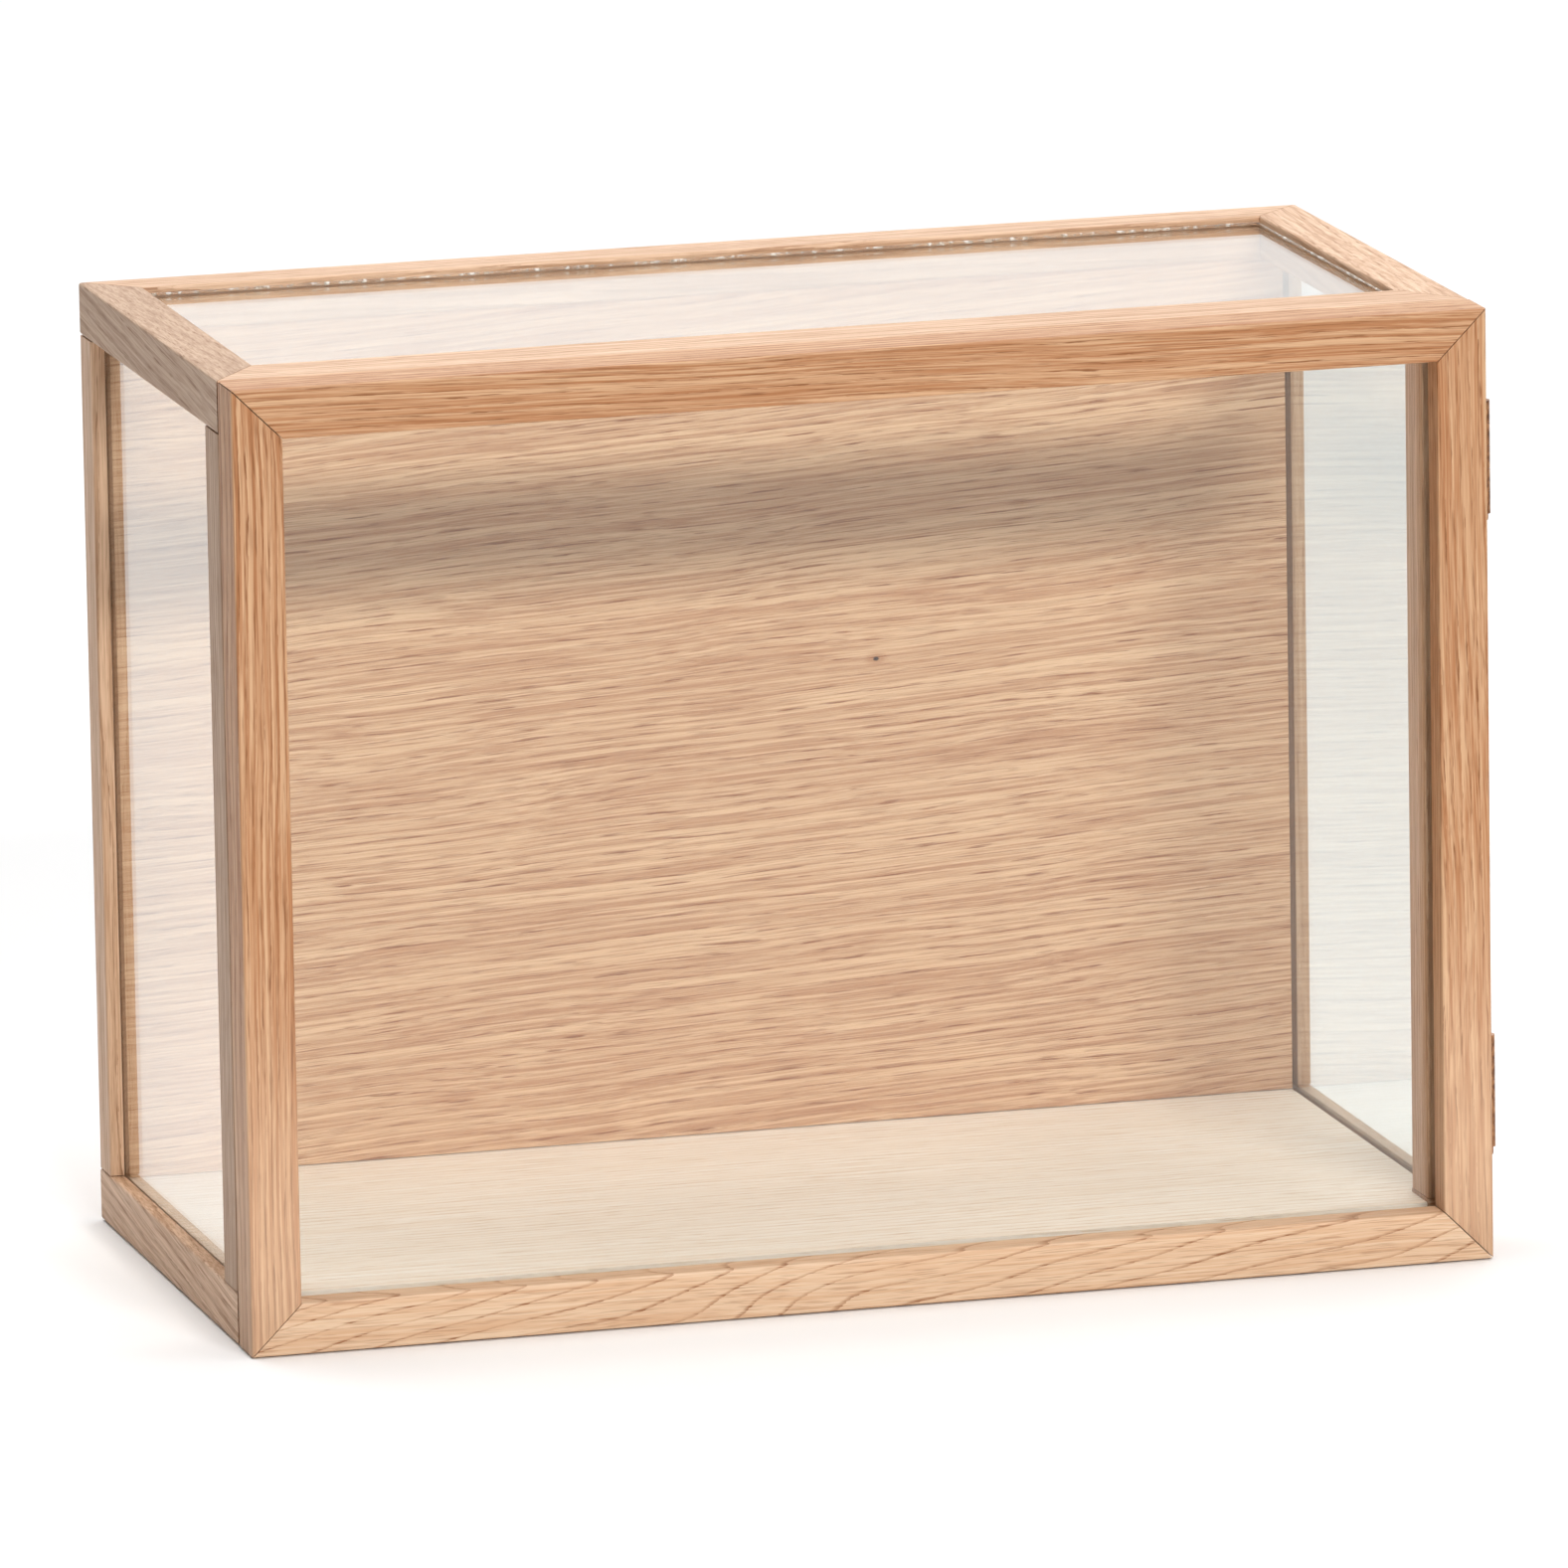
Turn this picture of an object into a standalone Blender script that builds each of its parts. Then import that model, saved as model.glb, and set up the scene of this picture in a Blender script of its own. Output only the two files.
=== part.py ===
"""Wall mounted showcase: a small oak and glass display case with a hinged glass door.

Metres, +Z up. The wall is the plane Y = 0 and the front faces -Y. The origin is the middle
of the upper rear rail's back face, on the line that the case hangs from.
"""
import math

import bmesh
import bpy
from mathutils import Matrix, Vector

# ---- Overall size -----------------------------------------------------------------------
WIDTH = 0.400
DEPTH = 0.200
HEIGHT = 0.302

# ---- Carcass: a mitred frame at the top and the bottom, joined by four stiles -------------
RAIL_HEIGHT = 0.0165
SIDE_RAIL_WIDTH = 0.017
FRONT_RAIL_DEPTH = 0.023
REAR_RAIL_DEPTH = 0.0165
STILE_WIDTH = 0.016
FRONT_STILE_DEPTH = 0.017
REAR_STILE_DEPTH = 0.014
ARRIS = 0.0008              # radius of the eased long edges
ARRIS_SEGMENTS = 2
GLUE_LINE = 0.0003          # gap left at each joint between two pieces of wood
MITRE_TRIM = 0.0002         # taken off each mitred end, along the member

# ---- Glass, back panel and bottom board ---------------------------------------------------
GLASS = 0.003
FIT_GAP = 0.0003            # clearance around anything let into wood
GLASS_LIP = 0.0045          # wood left outside a side pane
GROOVE_DEPTH = 0.005
TOP_PANE_DROP = 0.0031      # from the rails' top down to the top pane
BACK_THICKNESS = 0.006
BOARD_THICKNESS = 0.008
BOARD_DROP = 0.001          # from the bottom rails' top down to the board's top
PANEL_SIDE_GAP = 0.0009     # shadow gap between a side pane and the back panel or the board

# ---- Door: a mitred frame over the whole front --------------------------------------------
DOOR_MEMBER = 0.016
DOOR_THICKNESS = 0.0176
DOOR_GAP = 0.0004
DOOR_PANE_INSET = 0.010     # from the door's front face back to its pane
DOOR_REBATE = 0.0055        # how far the rebate for the pane is cut into each member
DOOR_PANE_PLAY = 0.0004

# ---- Silicone beads -----------------------------------------------------------------------
DOOR_BEAD_RADIUS = 0.0017
TOP_BEAD_RADIUS = 0.0007
BEAD_GAP = 0.0002

# ---- Butt hinges on the right-hand side ---------------------------------------------------
HINGE_LENGTH = 0.036
HINGE_INSET = 0.032         # from the top or the bottom of the case to the hinge
KNUCKLES = 5
KNUCKLE_RADIUS = 0.003
KNUCKLE_GAP = 0.00025
LEAF_THICKNESS = 0.0012
LEAF_WIDTH = 0.0135         # from the pin's axis to the leaf's far edge
LEAF_CORNER = 0.0015
LEAF_SEAT = 0.0003          # gap between a leaf and the wood behind it
KNUCKLE_LIFT = 0.0001       # gap between the barrel and the plane of the leaves' backs
PIN_RADIUS = 0.00125
PIN_CLEARANCE = 0.0001
PIN_PROUD = 0.0004
PIN_CHAMFER = 0.0002
HINGE_SCREW_LENGTH = 0.010
HINGE_SCREW_AT = 0.0100     # from the pin's axis to the screws
HINGE_SCREW_SPACING = 0.022

# ---- Screws, dowels, magnets and hangers --------------------------------------------------
SCREW_HEAD_RADIUS = 0.0024
SCREW_HEAD_HEIGHT = 0.0013
SCREW_SHANK_RADIUS = 0.0011
SCREW_TIP = 0.002
SCREW_SLOT_WIDTH = 0.0007
SCREW_SLOT_DEPTH = 0.0007
SCREW_CLEARANCE = 0.00015
DOWEL_RADIUS = 0.002
DOWEL_IN_RAIL = 0.008
DOWEL_IN_STILE = 0.012
DOWEL_CLEARANCE = 0.0001
DOWEL_CHAMFER = 0.0004
FRONT_DOWEL_SHARE = 2 / 3   # how far a front dowel stands into the wood in front of the groove
MAGNET_RADIUS = 0.004
MAGNET_DEPTH = 0.004
STRIKE_DEPTH = 0.0015
MAGNET_CLEARANCE = 0.0001
MAGNET_CHAMFER = 0.0002
MAGNET_FROM_SIDE = 0.0052   # from the side of the case to a magnet's middle
MAGNET_FROM_END = 0.080     # from the top or the bottom of the case to a magnet's middle
HANGER_SPACING = 0.240
HANGER_LENGTH = 0.038
HANGER_HEIGHT = 0.013
HANGER_THICKNESS = 0.0012
HANGER_CORNER = 0.002
HANGER_SCREW_SPACING = 0.028
HANGER_SCREW_LENGTH = 0.009
KEYHOLE_RADIUS = 0.0035
KEYHOLE_DROP = 0.0018       # from the hanging line down to the keyhole's round part
KEYSLOT_RADIUS = 0.0018
KEYSLOT_RISE = 0.0030       # from the hanging line up to the middle of the slot's end
HANGER_POCKET_DEPTH = 0.007
HANGER_POCKET_WIDTH = 0.010
HANGER_POCKET_HEIGHT = 0.0115

ROUND_SEGMENTS = 24
SMALL_SEGMENTS = 16
CORNER_SEGMENTS = 4         # on each rounded corner of a metal plate
SMOOTH_ANGLE = math.radians(40)
ALONG = 0.9                 # an edge runs along an axis when its direction's share of it is above this
THROUGH = 0.001             # how far a cutter runs past the surface that it opens

# ---- Places worked out from the sizes ------------------------------------------------------
SIDE = WIDTH / 2
TOP = RAIL_HEIGHT / 2
BOTTOM = TOP - HEIGHT
FRONT = -DEPTH
DOOR_BACK = FRONT + DOOR_THICKNESS
CARCASS_FRONT = DOOR_BACK + DOOR_GAP
TOP_RAIL_UNDERSIDE = TOP - RAIL_HEIGHT
BOTTOM_RAIL_TOP = BOTTOM + RAIL_HEIGHT
STILE_INNER = SIDE - STILE_WIDTH
FRONT_STILE_BACK = CARCASS_FRONT + FRONT_STILE_DEPTH

PANE_OUTER = SIDE - GLASS_LIP - FIT_GAP
PANE_INNER = PANE_OUTER - GLASS
PANEL_EDGE = PANE_INNER - PANEL_SIDE_GAP
BACK_FACE = -REAR_STILE_DEPTH
BACK_REAR = BACK_FACE + BACK_THICKNESS
REAR_SEAT = BACK_REAR + FIT_GAP
BOARD_TOP = BOTTOM_RAIL_TOP - BOARD_DROP
BOARD_UNDERSIDE = BOARD_TOP - BOARD_THICKNESS
BOARD_SEAT = BOARD_UNDERSIDE - FIT_GAP

HINGE_X = SIDE + LEAF_SEAT + KNUCKLE_LIFT + KNUCKLE_RADIUS
HINGE_Y = (DOOR_BACK + CARCASS_FRONT) / 2
KNUCKLE_LENGTH = HINGE_LENGTH / KNUCKLES

X_AXIS = Vector((1, 0, 0))
Y_AXIS = Vector((0, 1, 0))
Z_AXIS = Vector((0, 0, 1))


def clear_scene():
    for old in list(bpy.data.objects):
        bpy.data.objects.remove(old, do_unlink=True)


def make_collection(name):
    collection = bpy.data.collections.new(name)
    bpy.context.scene.collection.children.link(collection)
    return collection


def make_material(name, colour, roughness, metallic=0.0, transmission=0.0):
    material = bpy.data.materials.new(name)
    material.use_nodes = True
    shader = material.node_tree.nodes["Principled BSDF"]
    shader.inputs["Base Color"].default_value = (*colour, 1.0)
    shader.inputs["Roughness"].default_value = roughness
    shader.inputs["Metallic"].default_value = metallic
    shader.inputs["Transmission Weight"].default_value = transmission
    return material


clear_scene()
PARTS = make_collection("wall_showcase")
CUTTERS = make_collection("cutters")

OAK = make_material("oak", (0.60, 0.35, 0.18), 0.55)
OAK_VENEER = make_material("oak_veneer", (0.58, 0.37, 0.21), 0.55)
BEECH = make_material("beech_dowel", (0.62, 0.42, 0.26), 0.60)
CLEAR_GLASS = make_material("clear_glass", (0.97, 0.99, 0.98), 0.02, transmission=1.0)
SILICONE = make_material("clear_silicone", (0.90, 0.91, 0.90), 0.25, transmission=0.6)
BRONZE = make_material("antique_bronze", (0.20, 0.11, 0.06), 0.38, metallic=1.0)
STEEL = make_material("zinc_plated_steel", (0.62, 0.62, 0.60), 0.32, metallic=1.0)
MAGNET_NICKEL = make_material("nickel_plate", (0.66, 0.64, 0.60), 0.22, metallic=1.0)


# ---- Building blocks ------------------------------------------------------------------------
def add_object(name, mesh, location, turn=None, material=None, parent=None):
    """A named part, or a cutter when it has no material."""
    made = bpy.data.objects.new(name, mesh)
    made.location = location
    if turn is not None:
        made.rotation_euler = turn.to_euler()
    if material is None:
        CUTTERS.objects.link(made)
        made.hide_render = True
        made.display_type = "WIRE"
    else:
        PARTS.objects.link(made)
        mesh.materials.append(material)
    if parent is not None:
        made.parent = parent
        made.location = Vector(location) - parent.location
    return made


def finish_mesh(name, shape):
    mesh = bpy.data.meshes.new(name)
    bmesh.ops.recalc_face_normals(shape, faces=shape.faces)
    shape.to_mesh(mesh)
    shape.free()
    return mesh


def box(name, low, high, material=None, parent=None, rounded=None, radius=0.0):
    """A box between two corners. rounded picks the edges to round, by direction and middle."""
    low, high = Vector(low), Vector(high)
    shape = bmesh.new()
    bmesh.ops.create_cube(shape, size=1.0)
    bmesh.ops.scale(shape, vec=high - low, verts=shape.verts)
    if rounded is not None:
        chosen = []
        for edge in shape.edges:
            first, second = (vertex.co for vertex in edge.verts)
            if rounded((second - first).normalized(), (first + second) / 2):
                chosen.append(edge)
        bmesh.ops.bevel(shape, geom=chosen, offset=radius, segments=CORNER_SEGMENTS,
                        profile=0.5, affect="EDGES")
    mesh = finish_mesh(name, shape)
    return add_object(name, mesh, (low + high) / 2, material=material, parent=parent)


def cylinder(name, centre, axis, radius, length, segments, material=None, parent=None, easing=0.0):
    """A round bar, with its end edges eased by a small chamfer if asked."""
    shape = bmesh.new()
    bmesh.ops.create_cone(
        shape, cap_ends=True, segments=segments, radius1=radius, radius2=radius, depth=length)
    if easing > 0.0:
        rims = [edge for edge in shape.edges
                if abs(edge.verts[0].co.z - edge.verts[1].co.z) < length / 2]
        bmesh.ops.bevel(shape, geom=rims, offset=easing, segments=1, affect="EDGES")
    mesh = finish_mesh(name, shape)
    mesh.shade_smooth()
    mesh.set_sharp_from_angle(angle=SMOOTH_ANGLE)
    turn = Vector(axis).to_track_quat("Z", "Y").to_matrix()
    return add_object(name, mesh, centre, turn, material, parent)


def turned(name, profile, tip, axis, segments, material=None, parent=None):
    """A solid turned about an axis from a profile of (radius, height) points, top to bottom."""
    mesh = bpy.data.meshes.new(name)
    points = [(radius, 0.0, height) for radius, height in profile]
    mesh.from_pydata(points, [(i, i + 1) for i in range(len(points) - 1)], [])
    turn = Vector(axis).to_track_quat("Z", "Y").to_matrix()
    made = add_object(name, mesh, tip, turn, material, parent)
    lathe = made.modifiers.new("turn", "SCREW")
    lathe.axis = "Z"
    lathe.steps = segments
    lathe.render_steps = segments
    lathe.use_merge_vertices = True
    lathe.merge_threshold = 0.00001
    return made


def combine(target, operation, helpers):
    for helper in helpers:
        step = target.modifiers.new(helper.name, "BOOLEAN")
        step.operation = operation
        step.solver = "EXACT"
        step.object = helper


def cut(targets, cutters):
    for target in targets:
        combine(target, "DIFFERENCE", cutters)


def mitred_member(name, middle, along, inward, sizes, mitres, material, parent=None):
    """A straight member of a mitred frame.

    middle is the middle of its outer face, along its length and inward its width.
    sizes is (outer length, width, thickness); mitres is how much shorter the inner face is
    at the start and at the end, which is the width of the member that it meets there.
    """
    length, width, thickness = sizes
    shape = bmesh.new()
    bmesh.ops.create_cube(shape, size=1.0)
    bmesh.ops.scale(shape, vec=(length, width, thickness), verts=shape.verts)
    bmesh.ops.translate(shape, vec=(0, width / 2, 0), verts=shape.verts)
    long_edges = [edge for edge in shape.edges
                  if abs(edge.verts[0].co.x - edge.verts[1].co.x) > length / 2]
    bmesh.ops.bevel(shape, geom=long_edges, offset=ARRIS, segments=ARRIS_SEGMENTS, profile=0.5,
                    affect="EDGES")
    for vertex in shape.verts:
        share = vertex.co.y / width
        if vertex.co.x < 0:
            vertex.co.x += mitres[0] * share + MITRE_TRIM
        else:
            vertex.co.x -= mitres[1] * share + MITRE_TRIM
    mesh = finish_mesh(name, shape)
    turn = Matrix((along, inward, Vector(along).cross(inward))).transposed()
    return add_object(name, mesh, middle, turn, material, parent)


def upright(name, low, high, material):
    """A stile: a square-ended post with its four long edges eased."""
    return box(name, low, high, material,
               rounded=lambda direction, middle: abs(direction.z) > ALONG, radius=ARRIS)


# ---- Carcass --------------------------------------------------------------------------------
def horizontal_frame(prefix, height):
    """Four mitred rails in one plane, centred at a height. Returns them by name."""
    carcass_depth = -CARCASS_FRONT
    middle_y = CARCASS_FRONT / 2
    side_sizes = (carcass_depth, SIDE_RAIL_WIDTH, RAIL_HEIGHT)
    return {
        "front": mitred_member(
            prefix + "_rail_front", (0, CARCASS_FRONT, height), X_AXIS, Y_AXIS,
            (WIDTH, FRONT_RAIL_DEPTH, RAIL_HEIGHT), (SIDE_RAIL_WIDTH, SIDE_RAIL_WIDTH), OAK),
        "rear": mitred_member(
            prefix + "_rail_rear", (0, 0, height), -X_AXIS, -Y_AXIS,
            (WIDTH, REAR_RAIL_DEPTH, RAIL_HEIGHT), (SIDE_RAIL_WIDTH, SIDE_RAIL_WIDTH), OAK),
        "left": mitred_member(
            prefix + "_rail_left", (-SIDE, middle_y, height), -Y_AXIS, X_AXIS,
            side_sizes, (REAR_RAIL_DEPTH, FRONT_RAIL_DEPTH), OAK),
        "right": mitred_member(
            prefix + "_rail_right", (SIDE, middle_y, height), Y_AXIS, -X_AXIS,
            side_sizes, (FRONT_RAIL_DEPTH, REAR_RAIL_DEPTH), OAK),
    }


def stiles():
    """The four corner posts, standing between the two frames."""
    low = BOTTOM_RAIL_TOP + GLUE_LINE
    high = TOP_RAIL_UNDERSIDE - GLUE_LINE
    spans = {
        "front": (CARCASS_FRONT, FRONT_STILE_BACK),
        "rear": (-REAR_STILE_DEPTH, 0.0),
    }
    made = {}
    for row, (near, far) in spans.items():
        made[row, "left"] = upright(
            "stile_" + row + "_left", (-SIDE, near, low), (-STILE_INNER, far, high), OAK)
        made[row, "right"] = upright(
            "stile_" + row + "_right", (STILE_INNER, near, low), (SIDE, far, high), OAK)
    return made


def side_pane(side_name, side, top_frame, bottom_frame, posts):
    """A side pane in its grooves. side is -1 on the left and 1 on the right."""
    front_edge = FRONT_STILE_BACK - GROOVE_DEPTH + FIT_GAP
    top_edge = TOP_RAIL_UNDERSIDE + GROOVE_DEPTH - FIT_GAP
    xs = sorted((side * PANE_INNER, side * PANE_OUTER))
    low = Vector((xs[0], front_edge, BOARD_UNDERSIDE))
    high = Vector((xs[1], BACK_REAR, top_edge))
    box("side_pane_" + side_name, low, high, CLEAR_GLASS)
    gap = Vector((FIT_GAP, FIT_GAP, FIT_GAP))
    groove = box("groove_side_pane_" + side_name, low - gap, high + gap)
    cut([top_frame[side_name], bottom_frame[side_name],
         posts["front", side_name], posts["rear", side_name]], [groove])


def top_pane(top_frame):
    """The top pane, held in a groove all round, with a bead of silicone along its edge."""
    opening_low = Vector((-SIDE + SIDE_RAIL_WIDTH, CARCASS_FRONT + FRONT_RAIL_DEPTH, 0))
    opening_high = Vector((SIDE - SIDE_RAIL_WIDTH, -REAR_RAIL_DEPTH, 0))
    reach = GROOVE_DEPTH - FIT_GAP
    pane_top = TOP - TOP_PANE_DROP
    low = opening_low + Vector((-reach, -reach, pane_top - GLASS))
    high = opening_high + Vector((reach, reach, pane_top))
    box("top_pane", low, high, CLEAR_GLASS)
    gap = Vector((FIT_GAP, FIT_GAP, FIT_GAP))
    groove = box("groove_top_pane", low - gap, high + gap)
    cut(top_frame.values(), [groove])

    inset = BEAD_GAP + TOP_BEAD_RADIUS
    height = pane_top + inset
    corners = [
        (opening_low.x + inset, opening_low.y + inset, height),
        (opening_high.x - inset, opening_low.y + inset, height),
        (opening_high.x - inset, opening_high.y - inset, height),
        (opening_low.x + inset, opening_high.y - inset, height),
    ]
    bead("top_pane_bead", corners, TOP_BEAD_RADIUS)


def bead(name, corners, radius, parent=None):
    """A closed ring of silicone laid round a pane."""
    curve = bpy.data.curves.new(name, "CURVE")
    curve.dimensions = "3D"
    spline = curve.splines.new("POLY")
    spline.points.add(len(corners) - 1)
    origin = parent.location if parent is not None else Vector((0, 0, 0))
    for point, corner in zip(spline.points, corners):
        point.co = (*(Vector(corner) - origin), 1.0)
    spline.use_cyclic_u = True
    curve.bevel_depth = radius
    curve.bevel_resolution = 1
    curve.materials.append(SILICONE)
    ring = bpy.data.objects.new(name, curve)
    PARTS.objects.link(ring)
    ring.parent = parent
    return ring


def back_panel(posts):
    """The back panel, laid in rebates that are cut in the rear stiles."""
    low = Vector((-PANEL_EDGE, BACK_FACE, BOARD_TOP + GLUE_LINE))
    high = Vector((PANEL_EDGE, BACK_REAR, TOP_RAIL_UNDERSIDE - GLUE_LINE))
    box("back_panel", low, high, OAK_VENEER)
    rebate = box("rebate_back_panel",
                 (-PANE_INNER, BACK_FACE - THROUGH, low.z - THROUGH),
                 (PANE_INNER, REAR_SEAT, high.z + THROUGH))
    cut([posts["rear", "left"], posts["rear", "right"]], [rebate])


def bottom_board(bottom_frame):
    """The bottom board, let into the bottom frame and notched round the front stiles."""
    front_edge = CARCASS_FRONT + FIT_GAP
    board = box("bottom_board",
                (-PANEL_EDGE, front_edge, BOARD_UNDERSIDE),
                (PANEL_EDGE, BACK_REAR, BOARD_TOP), OAK_VENEER)
    notch_inner = STILE_INNER - FIT_GAP
    notch_back = FRONT_STILE_BACK + FIT_GAP
    notches = []
    for side_name, side in (("left", -1), ("right", 1)):
        xs = sorted((side * notch_inner, side * (SIDE + THROUGH)))
        notches.append(box("notch_board_" + side_name,
                           (xs[0], CARCASS_FRONT - THROUGH, BOARD_UNDERSIDE - THROUGH),
                           (xs[1], notch_back, BOARD_TOP + THROUGH)))
    cut([board], notches)

    above = BOTTOM_RAIL_TOP + THROUGH
    bed_back = box("bed_board_back",
                   (-PANE_INNER, FRONT_STILE_BACK, BOARD_SEAT), (PANE_INNER, REAR_SEAT, above))
    bed_front = box("bed_board_front",
                    (-STILE_INNER, CARCASS_FRONT - THROUGH, BOARD_SEAT),
                    (STILE_INNER, FRONT_STILE_BACK + THROUGH, above))
    cut(bottom_frame.values(), [bed_back])
    cut([bottom_frame["front"]], [bed_front])


def dowels(top_frame, bottom_frame, posts):
    """A dowel at each end of each stile, into the front or the rear rail."""
    groove_inner = PANE_INNER - FIT_GAP
    places = {
        "front": ((STILE_INNER + groove_inner) / 2,
                  CARCASS_FRONT + (FRONT_STILE_DEPTH - GROOVE_DEPTH) * FRONT_DOWEL_SHARE),
        "rear": ((STILE_INNER + PANE_INNER) / 2, REAR_SEAT / 2),
    }
    length = DOWEL_IN_RAIL + DOWEL_IN_STILE
    offset = (DOWEL_IN_STILE - DOWEL_IN_RAIL) / 2
    ends = {
        "top": (top_frame, TOP_RAIL_UNDERSIDE - offset),
        "bottom": (bottom_frame, BOTTOM_RAIL_TOP + offset),
    }
    for (row, side_name), post in posts.items():
        x, y = places[row]
        if side_name == "left":
            x = -x
        for end, (frame, middle) in ends.items():
            name = "dowel_" + row + "_" + side_name + "_" + end
            cylinder(name, (x, y, middle), Z_AXIS, DOWEL_RADIUS, length, SMALL_SEGMENTS, BEECH,
                     easing=DOWEL_CHAMFER)
            hole = cylinder("hole_" + name, (x, y, middle), Z_AXIS,
                            DOWEL_RADIUS + DOWEL_CLEARANCE, length + 2 * FIT_GAP, SMALL_SEGMENTS)
            cut([post, frame[row]], [hole])


# ---- Fasteners ------------------------------------------------------------------------------
def screw(name, head, outward, length, holes_in, parent=None):
    """A countersunk slotted screw, its head's top at head, and the hole it stands in."""
    wide, narrow = SCREW_HEAD_RADIUS, SCREW_SHANK_RADIUS
    profile = [
        (0.0, 0.0),
        (wide, 0.0),
        (narrow, -SCREW_HEAD_HEIGHT),
        (narrow, SCREW_TIP - length),
        (0.0, -length),
    ]
    made = turned(name, profile, head, outward, SMALL_SEGMENTS, STEEL, parent)
    slot_half = Vector((wide + THROUGH, SCREW_SLOT_WIDTH / 2, SCREW_SLOT_DEPTH))
    slot = box("slot_" + name, -slot_half, slot_half)
    slot.location = head
    slot.rotation_euler = Vector(outward).to_track_quat("Z", "Y").to_euler()
    combine(made, "DIFFERENCE", [slot])

    spare = SCREW_CLEARANCE
    hole_profile = [
        (0.0, THROUGH),
        (wide + spare, THROUGH),
        (wide + spare, 0.0),
        (narrow + spare, -SCREW_HEAD_HEIGHT),
        (narrow + spare, -length - spare),
        (0.0, -length - spare),
    ]
    hole = turned("hole_" + name, hole_profile, head, outward, SMALL_SEGMENTS)
    cut(holes_in, [hole])


def hinge_leaf(name, side, bottom, own, others, material, parent=None):
    """One leaf with its knuckles. side is 1 for the carcass leaf and -1 for the door leaf."""
    back = SIDE + LEAF_SEAT
    ys = sorted((HINGE_Y, HINGE_Y + side * LEAF_WIDTH))
    leaf = box(name, (back, ys[0], bottom), (back + LEAF_THICKNESS, ys[1], bottom + HINGE_LENGTH),
               material, parent,
               rounded=lambda direction, middle: abs(direction.x) > ALONG and middle.y * side > 0,
               radius=LEAF_CORNER)

    def knuckle_helper(label, index, radius, length):
        centre = (HINGE_X, HINGE_Y, bottom + (index + 0.5) * KNUCKLE_LENGTH)
        return cylinder(label + "_" + name + "_" + str(index), centre, Z_AXIS, radius, length,
                        ROUND_SEGMENTS)

    clear_radius = KNUCKLE_RADIUS + KNUCKLE_GAP
    combine(leaf, "DIFFERENCE", [
        knuckle_helper("clear", i, clear_radius, KNUCKLE_LENGTH + KNUCKLE_GAP) for i in others])
    combine(leaf, "UNION", [
        knuckle_helper("knuckle", i, KNUCKLE_RADIUS, KNUCKLE_LENGTH - KNUCKLE_GAP) for i in own])
    bore = cylinder("bore_" + name, (HINGE_X, HINGE_Y, bottom + HINGE_LENGTH / 2), Z_AXIS,
                    PIN_RADIUS + PIN_CLEARANCE, HINGE_LENGTH + 2 * THROUGH, ROUND_SEGMENTS)
    combine(leaf, "DIFFERENCE", [bore])
    return leaf


def hinge(label, bottom, carcass_stile, door_stile, door_axis):
    """A butt hinge across the seam between the door and the carcass."""
    carcass_knuckles = range(0, KNUCKLES, 2)
    door_knuckles = range(1, KNUCKLES, 2)
    carcass_leaf = hinge_leaf("hinge_" + label + "_leaf_carcass", 1, bottom,
                              carcass_knuckles, door_knuckles, BRONZE)
    door_leaf = hinge_leaf("hinge_" + label + "_leaf_door", -1, bottom,
                           door_knuckles, carcass_knuckles, BRONZE, door_axis)
    middle = bottom + HINGE_LENGTH / 2
    cylinder("hinge_" + label + "_pin", (HINGE_X, HINGE_Y, middle), Z_AXIS, PIN_RADIUS,
             HINGE_LENGTH + 2 * PIN_PROUD, ROUND_SEGMENTS, BRONZE, easing=PIN_CHAMFER)
    face = SIDE + LEAF_SEAT + LEAF_THICKNESS
    sides = (("carcass", 1, carcass_leaf, carcass_stile, None),
             ("door", -1, door_leaf, door_stile, door_axis))
    for side_name, side, leaf, stile, parent in sides:
        for number, step in ((1, -0.5), (2, 0.5)):
            head = (face, HINGE_Y + side * HINGE_SCREW_AT, middle + step * HINGE_SCREW_SPACING)
            screw("hinge_" + label + "_screw_" + side_name + "_" + str(number), head, X_AXIS,
                  HINGE_SCREW_LENGTH, [leaf, stile], parent)


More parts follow.
